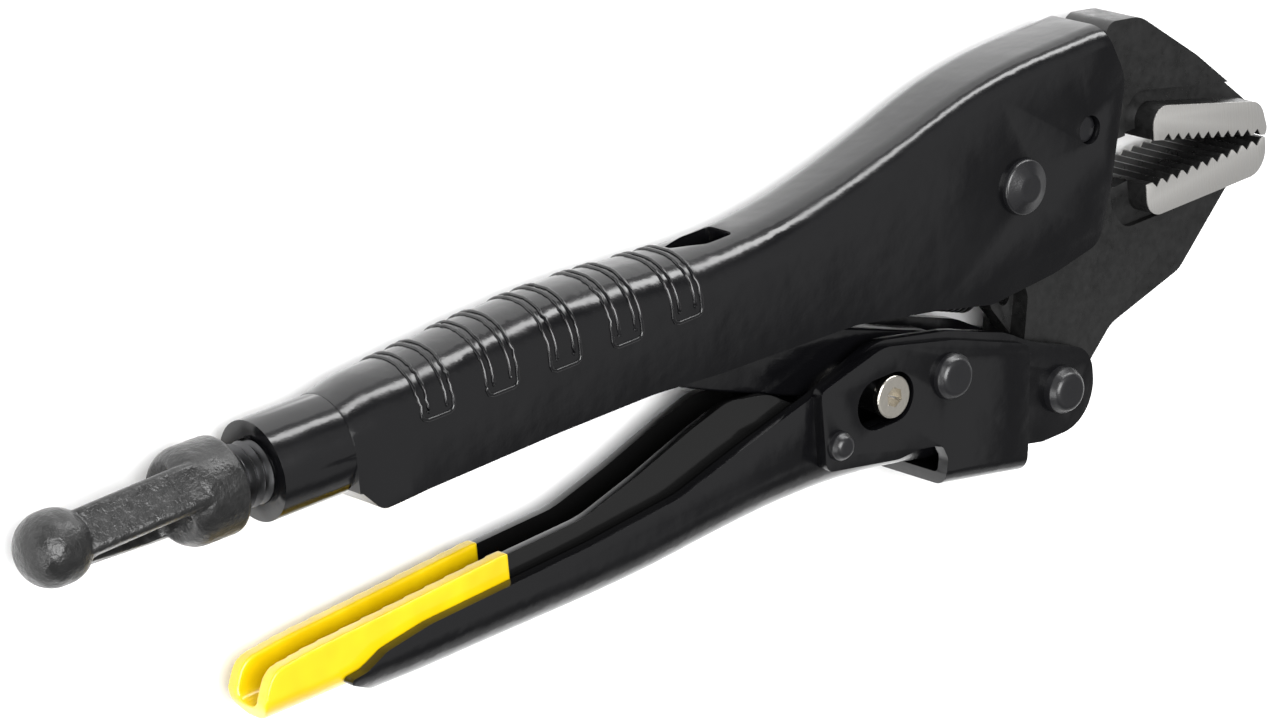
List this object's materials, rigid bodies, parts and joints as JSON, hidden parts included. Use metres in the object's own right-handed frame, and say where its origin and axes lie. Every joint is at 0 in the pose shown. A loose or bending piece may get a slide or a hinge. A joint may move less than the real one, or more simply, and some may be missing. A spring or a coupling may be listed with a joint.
{
  "type": "locking pliers",
  "caption": "Hand locking pliers with straight serrated jaws, an over-centre toggle, an adjusting screw with a looped torque head and a release lever.",
  "frame": {"origin": "middle of the tool's outline, on the plane that its far-side rivet heads rest on", "axes": "+X along the adjusting screw towards the jaws, +Y across the handles from the lower handle to the fixed handle, +Z out of the near side of the tool"},
  "size_m": [0.2514, 0.0692, 0.0211],
  "materials": {
    "black_paint": "gloss",
    "forged_black": "coarse satin",
    "rivet_black": "satin",
    "lever_black": "gloss",
    "lever_coating": "gloss",
    "nickel": "bright",
    "screw_steel": "satin",
    "spring_steel": "satin"
  },
  "bodies": {
    "fixed_frame": {"fixed_handle": "black_paint", "fixed_jaw": "forged_black", "fixed_jaw_pin": "rivet_black", "jaw_pivot_rivet": "rivet_black", "jaw_spring": "spring_steel"},
    "moving_jaw": {"movable_jaw": "forged_black"},
    "lower_frame": {"lower_handle": "black_paint", "saddle_plate": "black_paint", "lever_pivot_rivet": "rivet_black", "link_pivot_rivet": "rivet_black", "release_pivot_rivet": "rivet_black", "link_spacers": "screw_steel"},
    "toggle": {"toggle_link": "black_paint"},
    "release": {"release_lever": "lever_black", "release_tip_coating": "lever_coating"},
    "stop": {"stop_sleeve": "screw_steel", "stop_screw": "nickel"},
    "tip": {"screw_tip": "screw_steel"},
    "adjuster": {"screw_rod": "screw_steel", "torque_head": "forged_black"}
  },
  "joints": [
    {"name": "jaw_hinge", "type": "hinge", "parent": "fixed_frame", "child": "moving_jaw", "pos_m": [0.06745, 0.01325, 0.0102], "axis": [0, 0, -1], "range_deg": [0, 12], "deforming": ["jaw_spring"]},
    {"name": "handle_hinge", "type": "hinge", "parent": "moving_jaw", "child": "lower_frame", "pos_m": [0.07395, -0.02385, 0.0102], "axis": [0, 0, 1], "range_deg": [0, 51]},
    {"name": "link_hinge", "type": "hinge", "parent": "lower_frame", "child": "toggle", "pos_m": [0.04725, -0.01275, 0.0102], "axis": [0, 0, 1], "range_deg": [-56.6, 0]},
    {"name": "release_hinge", "type": "hinge", "parent": "lower_frame", "child": "release", "pos_m": [0.02195, -0.01665, 0.0102], "axis": [0, 0, -1], "range_deg": [0, 8]},
    {"name": "stop_slide", "type": "slide", "parent": "lower_frame", "child": "stop", "axis": [-1, 0, 0], "range_m": [0, 0.004]},
    {"name": "tip_slide", "type": "slide", "parent": "fixed_frame", "child": "tip", "axis": [-1, 0, 0], "range_m": [0, 0.035]},
    {"name": "screw_turn", "type": "hinge", "parent": "tip", "child": "adjuster", "pos_m": [-0.08455, 0.01155, 0.0102], "axis": [-1, 0, 0], "range_deg": [0, 8401]}
  ],
  "couplings": [
    {"joint": "handle_hinge", "follows": "jaw_hinge", "ratio": 4.25},
    {"joint": "link_hinge", "follows": "jaw_hinge", "ratio": -4.71},
    {"joint": "screw_turn", "follows": "tip_slide", "rad_per_m": 4188.8}
  ]
}
